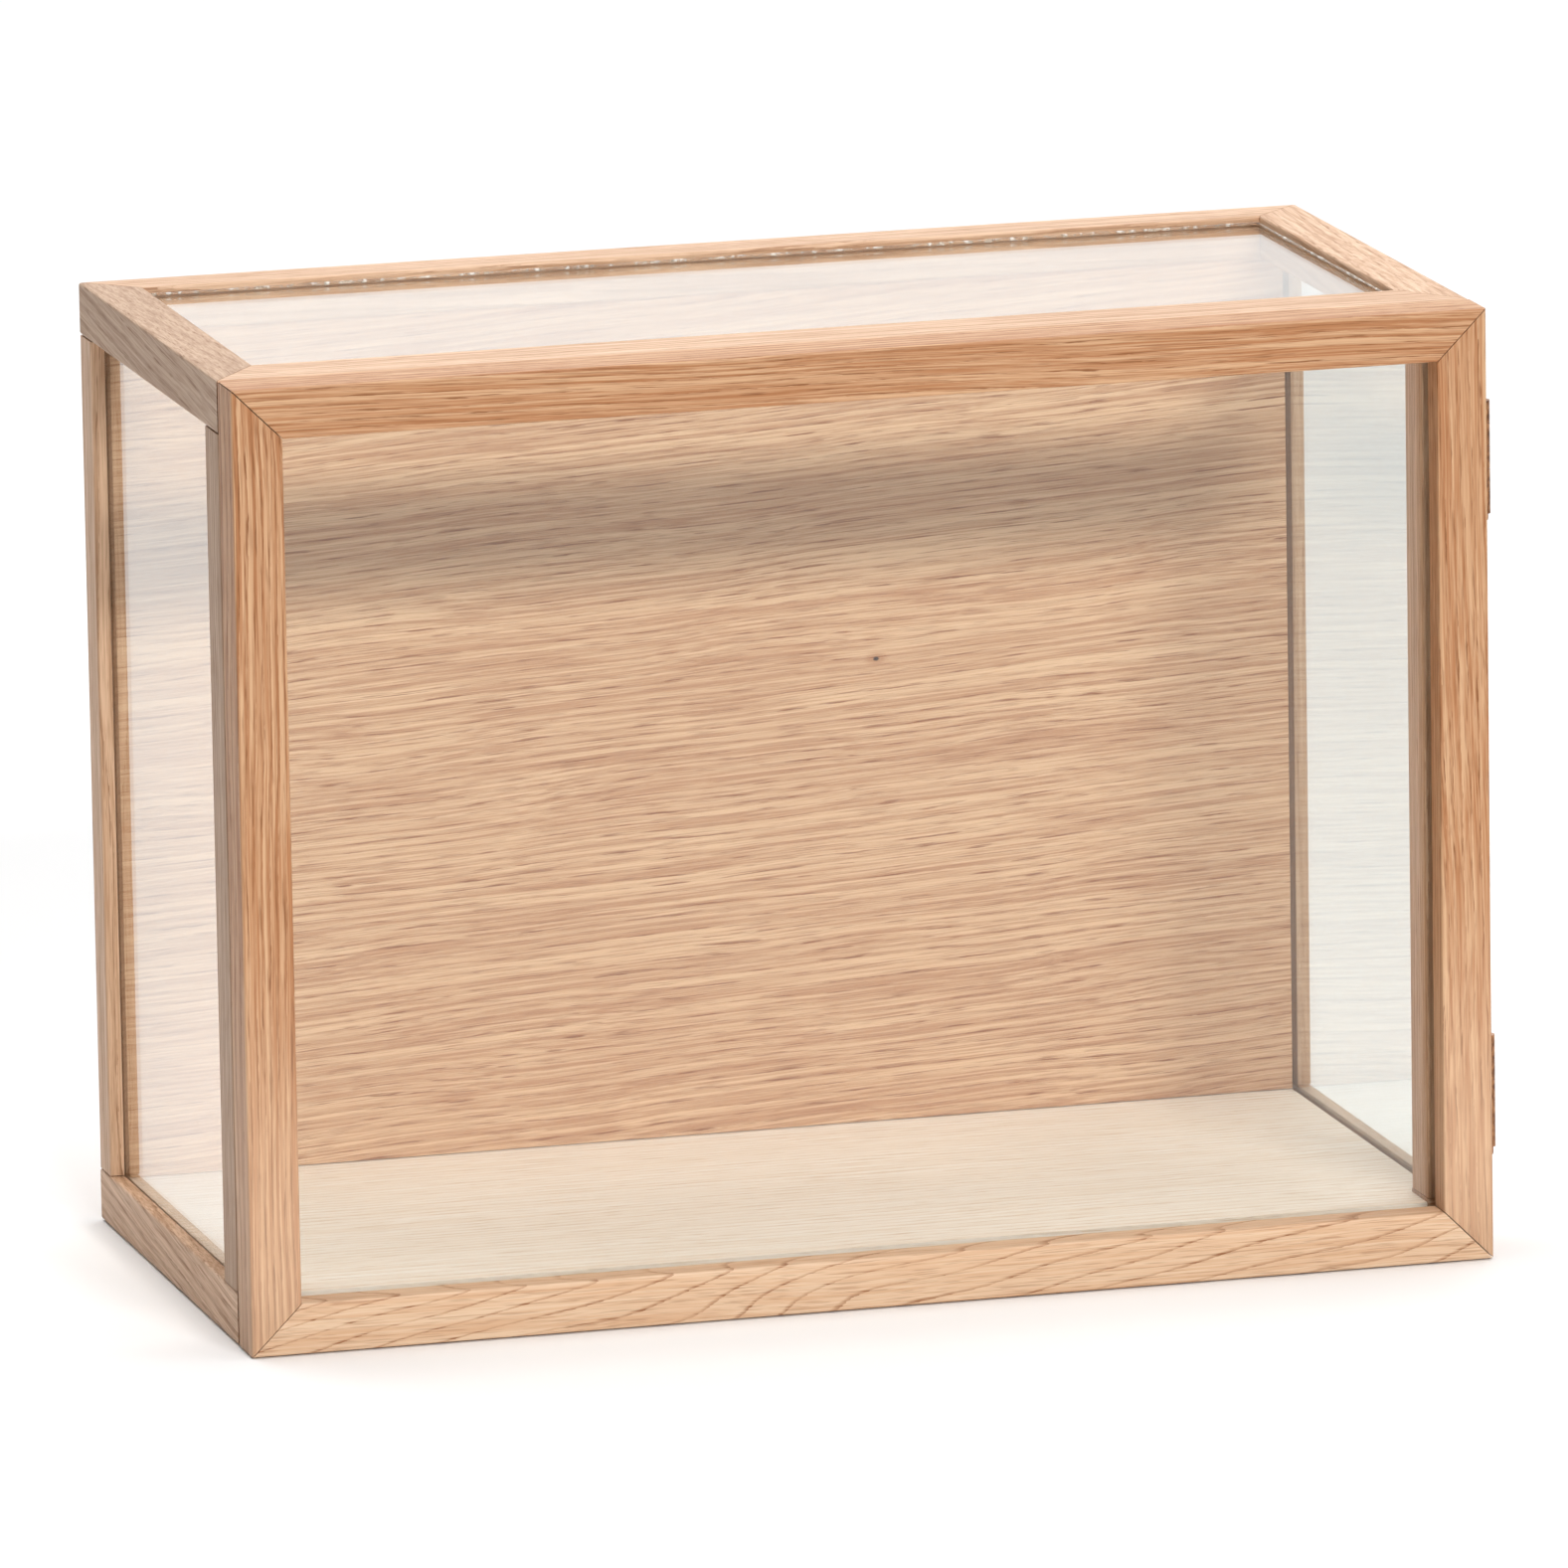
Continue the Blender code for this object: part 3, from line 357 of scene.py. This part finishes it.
def float_glass():
    """Clear float glass, 3 mm: faintly grey-green, with wavering reflections and wiping smears.

    Light from the lamps goes straight through it, so that the inside of the case is lit.
    """
    material, tree = new_material("clear_float_glass")
    point = add(tree, "ShaderNodeTexCoord").node.outputs["Object"]
    wave = add(tree, "ShaderNodeTexNoise", {"Vector": point, "Scale": 1 / (70 * MM), "Detail": 1.0})
    waver = add(tree, "ShaderNodeBump", {"Height": wave, "Strength": 0.02, "Distance": 1.0 * MM})
    wiped = add(tree, "ShaderNodeMapping", {"Vector": point, "Rotation": (0.3, 0.5, 0.4),
                                            "Scale": (1 / (60 * MM), 1 / (60 * MM), 1 / (9 * MM))})
    smear = add(tree, "ShaderNodeTexNoise", {"Vector": wiped, "Scale": 1.0, "Detail": 3.0})
    film = add(tree, "ShaderNodeMapRange",
               {"Value": smear, "From Min": 0.55, "From Max": 0.8, "To Max": 0.04})
    glass = add(tree, "ShaderNodeBsdfPrincipled",
                {"Base Color": linear("F1F5F4"), "Roughness": film, "IOR": 1.52,
                 "Transmission Weight": 1.0, "Normal": waver})
    open_way = add(tree, "ShaderNodeBsdfTransparent", {"Color": linear("FBFAF8")})
    rays = add(tree, "ShaderNodeLightPath").node.outputs
    for_lamps = add(tree, "ShaderNodeMixShader",
                    {0: rays["Is Shadow Ray"], 1: glass, 2: open_way})
    for_bounces = add(tree, "ShaderNodeMixShader",
                      {0: rays["Is Diffuse Ray"], 1: for_lamps, 2: open_way})
    add(tree, "ShaderNodeOutputMaterial", {"Surface": for_bounces})
    return material


def silicone():
    """Clear silicone sealant, smoothed with a finger: a milky, wet-looking gel with ripples."""
    material, tree = new_material("clear_silicone_sealant")
    point = add(tree, "ShaderNodeTexCoord").node.outputs["Object"]
    ripple = add(tree, "ShaderNodeTexNoise",
                 {"Vector": point, "Scale": 1 / (1.5 * MM), "Detail": 2.0})
    cloud = add(tree, "ShaderNodeTexNoise", {"Vector": point, "Scale": 1 / (3 * MM), "Detail": 3.0})
    milky = add(tree, "ShaderNodeMapRange", {"Value": cloud, "From Min": 0.50, "From Max": 0.62})
    milk = add(tree, "ShaderNodeMix",
               {"Factor": milky, "A": linear("E9DCCB"), "B": linear("F6F4EE")}, data_type="RGBA")
    clear = add(tree, "ShaderNodeMapRange", {"Value": milky, "To Min": 0.95, "To Max": 0.45})
    wet = add(tree, "ShaderNodeMapRange", {"Value": ripple, "To Min": 0.12, "To Max": 0.32})
    relief = add(tree, "ShaderNodeBump", {"Height": ripple, "Strength": 0.5, "Distance": 0.3 * MM})
    surface = add(tree, "ShaderNodeBsdfPrincipled",
                  {"Base Color": milk, "Roughness": wet, "IOR": 1.41,
                   "Transmission Weight": clear, "Normal": relief})
    add(tree, "ShaderNodeOutputMaterial", {"Surface": surface})
    return material


def bare_metal(name, bright, dull, smooth, rough, patch, brush):
    """A plated or patinated metal: patches of two tones, and fine brush lines in its polish."""
    material, tree = new_material(name)
    point = add(tree, "ShaderNodeTexCoord").node.outputs["Object"]
    patches = add(tree, "ShaderNodeTexNoise",
                  {"Vector": point, "Scale": 1 / (patch * MM), "Detail": 4.0})
    spread = add(tree, "ShaderNodeMapRange", {"Value": patches, "From Min": 0.35, "From Max": 0.65})
    colour = add(tree, "ShaderNodeMix",
                 {"Factor": spread, "A": linear(bright), "B": linear(dull)}, data_type="RGBA")
    drawn = add(tree, "ShaderNodeVectorMath",
                {0: point, 1: (1 / (brush * MM), 1 / (brush * MM), 1 / (brush * 15 * MM))},
                operation="MULTIPLY")
    lines = add(tree, "ShaderNodeTexNoise", {"Vector": drawn, "Scale": 1.0, "Detail": 2.0})
    worn = add(tree, "ShaderNodeMath", {0: lines, 1: spread}, operation="MULTIPLY")
    polish = add(tree, "ShaderNodeMapRange", {"Value": worn, "To Min": smooth, "To Max": rough})
    relief = add(tree, "ShaderNodeBump", {"Height": lines, "Strength": 0.2, "Distance": 0.02 * MM})
    surface = add(tree, "ShaderNodeBsdfPrincipled",
                  {"Base Color": colour, "Metallic": 1.0, "Roughness": polish, "Normal": relief})
    add(tree, "ShaderNodeOutputMaterial", {"Surface": surface})
    return material


def beech():
    """Turned beech dowel: pale pink-brown, close-grained, with short dark ray flecks."""
    material, tree = new_material("turned_beech")
    point = add(tree, "ShaderNodeTexCoord").node.outputs["Object"]
    drawn = add(tree, "ShaderNodeVectorMath",
                {0: point, 1: (1 / (0.4 * MM), 1 / (0.4 * MM), 1 / (2.5 * MM))},
                operation="MULTIPLY")
    rays = add(tree, "ShaderNodeTexNoise", {"Vector": drawn, "Scale": 1.0, "Detail": 2.0})
    flecks = add(tree, "ShaderNodeMapRange",
                 {"Value": rays, "From Min": 0.5, "From Max": 0.7, "To Max": 0.6})
    colour = add(tree, "ShaderNodeMix",
                 {"Factor": flecks, "A": linear("E0BD97"), "B": linear("B58459")}, data_type="RGBA")
    relief = add(tree, "ShaderNodeBump", {"Height": rays, "Strength": 0.3, "Distance": 0.05 * MM})
    surface = add(tree, "ShaderNodeBsdfPrincipled",
                  {"Base Color": colour, "Roughness": 0.5, "Normal": relief})
    add(tree, "ShaderNodeOutputMaterial", {"Surface": surface})
    return material


def bead_path(low, high, normal, radius):
    """The middle line of a bead that fills this box, a rectangle with small rounded corners."""
    middle = (low + high) / 2
    u, v = [axis for axis in range(3) if axis != normal]
    half_u = (high[u] - low[u]) / 2 - radius - BEAD_CORNER
    half_v = (high[v] - low[v]) / 2 - radius - BEAD_CORNER
    points = []
    for corner, (su, sv) in enumerate(((1, 1), (-1, 1), (-1, -1), (1, -1))):
        for k in range(BEAD_TURNS):
            angle = math.radians(90 * (corner + k / (BEAD_TURNS - 1)))
            point = middle.copy()
            point[u] += su * half_u + BEAD_CORNER * math.cos(angle)
            point[v] += sv * half_v + BEAD_CORNER * math.sin(angle)
            points.append(point)
    walked = []
    for start, end in zip(points, points[1:] + points[:1]):
        count = max(1, round((end - start).length / BEAD_STEP))
        walked += [start.lerp(end, k / count) for k in range(count)]
    return walked


def silicone_bead(node_name, body, normal, material):
    """A run of sealant with the swells of a hand-held nozzle, in place of the plain ring."""
    low, high = (Vector(corner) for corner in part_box(node_name))
    radius = (high[normal] - low[normal]) / 2
    path = bead_path(low, high, normal, radius)
    outward = Vector([float(axis == normal) for axis in range(3)])
    shape = bmesh.new()
    rings = []
    for i, point in enumerate(path):
        forward = (path[(i + 1) % len(path)] - path[i - 1]).normalized()
        side = forward.cross(outward)
        swell = (noise.noise(point / BEAD_LUMP) * LUMP_SHARE
                 + noise.noise(point / BEAD_DRIFT) * DRIFT_SHARE)
        reach = radius * min(1.0, BEAD_FILL + swell)
        ring = []
        for k in range(BEAD_SIDES):
            angle = 2 * math.pi * k / BEAD_SIDES
            ring.append(shape.verts.new(point + reach * (side * math.cos(angle)
                                                         + outward * math.sin(angle))))
        rings.append(ring)
    for ring, following in zip(rings, rings[1:] + rings[:1]):
        for k in range(BEAD_SIDES):
            n = (k + 1) % BEAD_SIDES
            shape.faces.new((ring[k], ring[n], following[n], following[k]))
    bmesh.ops.recalc_face_normals(shape, faces=shape.faces)
    mesh = bpy.data.meshes.new(node_name + "_run")
    shape.to_mesh(mesh)
    shape.free()
    mesh.shade_smooth()
    mesh.materials.append(material)
    bead = bpy.data.objects.new(node_name + "_run", mesh)
    bpy.context.scene.collection.objects.link(bead)
    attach(bead, body)
    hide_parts(node_name)


def studio_floor(height):
    """A wide floor of matt white card."""
    material, tree = new_material("matt_white_card")
    point = add(tree, "ShaderNodeTexCoord").node.outputs["Object"]
    mottle = add(tree, "ShaderNodeTexNoise",
                 {"Vector": point, "Scale": 1 / (300 * MM), "Detail": 3.0})
    colour = add(tree, "ShaderNodeMix",
                 {"Factor": mottle, "A": linear("FAFAFA"), "B": linear("FCFCFC")}, data_type="RGBA")
    surface = add(tree, "ShaderNodeBsdfPrincipled",
                  {"Base Color": colour, "Roughness": 0.9, "Specular IOR Level": 0.1})
    add(tree, "ShaderNodeOutputMaterial", {"Surface": surface})
    shape = bmesh.new()
    bmesh.ops.create_grid(shape, x_segments=FLOOR_SQUARES, y_segments=FLOOR_SQUARES,
                          size=FLOOR_REACH, matrix=Matrix.Translation((0, 0, height)))
    mesh = bpy.data.meshes.new("floor")
    shape.to_mesh(mesh)
    shape.free()
    mesh.materials.append(material)
    floor = bpy.data.objects.new("floor", mesh)
    bpy.context.scene.collection.objects.link(floor)


def softbox(name, place, target, width, height, power):
    """A rectangular softbox that faces the target."""
    data = bpy.data.lights.new(name, "AREA")
    data.shape = "RECTANGLE"
    data.size, data.size_y, data.energy = width, height, power
    lamp = bpy.data.objects.new(name, data)
    bpy.context.scene.collection.objects.link(lamp)
    lamp.location = place
    lamp.rotation_euler = (Vector(target) - Vector(place)).to_track_quat("-Z", "Y").to_euler()
    return lamp


def studio_light(target):
    """Soft white light from behind, weaker to the left and above, and the softboxes."""
    world = bpy.data.worlds.new("studio")
    world.use_nodes = True
    tree = world.node_tree
    tree.nodes.clear()
    direction = add(tree, "ShaderNodeTexCoord").node.outputs["Generated"]
    sides = add(tree, "ShaderNodeSeparateXYZ", {0: direction}).node.outputs
    rear = add(tree, "ShaderNodeMapRange",
               {"Value": sides["Y"], "From Min": -0.2, "From Max": 0.7, "To Min": 0.05,
                "To Max": 1.2}, interpolation_type="SMOOTHSTEP")
    left = add(tree, "ShaderNodeMapRange",
               {"Value": sides["X"], "From Min": -0.9, "From Max": -0.2, "To Min": 0.1,
                "To Max": 1.0}, interpolation_type="SMOOTHSTEP")
    high = add(tree, "ShaderNodeMapRange",
               {"Value": sides["Z"], "From Min": 0.25, "From Max": 0.7, "To Min": 1.0,
                "To Max": 0.25}, interpolation_type="SMOOTHSTEP")
    level = add(tree, "ShaderNodeMath", {0: rear, 1: left}, operation="MULTIPLY")
    glow = add(tree, "ShaderNodeMath", {0: level, 1: high}, operation="MULTIPLY")
    light = add(tree, "ShaderNodeBackground", {"Color": linear("FFFFFF"), "Strength": glow})
    add(tree, "ShaderNodeOutputWorld", {"Surface": light})
    bpy.context.scene.world = world
    lamps = {name: softbox(name, place, target if faced is None else faced, *size_and_power)
             for name, (place, faced, *size_and_power) in SOFTBOXES.items()}
    # The card only lifts the door's foot: nothing sees it or mirrors it.
    card = lamps["low_bounce_card"]
    card.visible_camera = card.visible_glossy = card.visible_transmission = False


def camera():
    """A long lens a little above the case and round to its left."""
    data = bpy.data.cameras.new("camera")
    data.lens, data.sensor_width = CAMERA_LENS, CAMERA_SENSOR
    data.clip_start, data.clip_end = 0.1, 200.0
    view = bpy.data.objects.new("camera", data)
    bpy.context.scene.collection.objects.link(view)
    turn = (Matrix.Rotation(-math.radians(CAMERA_YAW), 3, "Z")
            @ Matrix.Rotation(math.radians(90 - CAMERA_PITCH), 3, "X")
            @ Matrix.Rotation(math.radians(CAMERA_ROLL), 3, "Z"))
    view.location = CAMERA_PLACE
    view.rotation_euler = turn.to_euler()
    bpy.context.scene.camera = view


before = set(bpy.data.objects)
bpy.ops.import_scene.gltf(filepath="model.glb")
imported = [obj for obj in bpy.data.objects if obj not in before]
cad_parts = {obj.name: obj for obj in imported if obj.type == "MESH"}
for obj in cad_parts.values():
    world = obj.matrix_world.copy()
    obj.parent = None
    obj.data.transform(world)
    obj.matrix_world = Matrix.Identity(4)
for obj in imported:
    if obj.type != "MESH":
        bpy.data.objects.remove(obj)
cad_low, cad_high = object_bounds()
bpy.context.scene.view_settings.view_transform = "Standard"
camera()

timber = oak_timber()
material_of = {}
for stick_index, (stick_name, stick) in enumerate(STICKS.items()):
    material_of[stick_name] = oak(stick_name, stick, stick_index, timber)
    dress(stick_name, material_of[stick_name])

finish_of = {
    "clear_glass": float_glass(),
    "clear_silicone": silicone(),
    "beech_dowel": beech(),
    "antique_bronze": bare_metal("patinated_bronze", "B27F56", "704A33", 0.30, 0.60, 2.5, 0.25),
    "zinc_plated_steel": bare_metal("bright_zinc_plate", "D2D5D6", "A9AEB0", 0.25, 0.50, 3.0, 0.20),
    "nickel_plate": bare_metal("bright_nickel_plate", "DAD6CC", "BDB8AC", 0.12, 0.35, 4.0, 0.15),
}
for node_name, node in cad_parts.items():
    if node_name not in material_of:
        for holder in node.material_slots:
            holder.material = finish_of[holder.material.name]

silicone_bead("top_pane_bead", "carcass", 2, finish_of["clear_silicone"])
silicone_bead("door_pane_bead", "door", 1, finish_of["clear_silicone"])

studio_floor(cad_low.z - FLOOR_GAP)
studio_light((cad_low + cad_high) / 2)
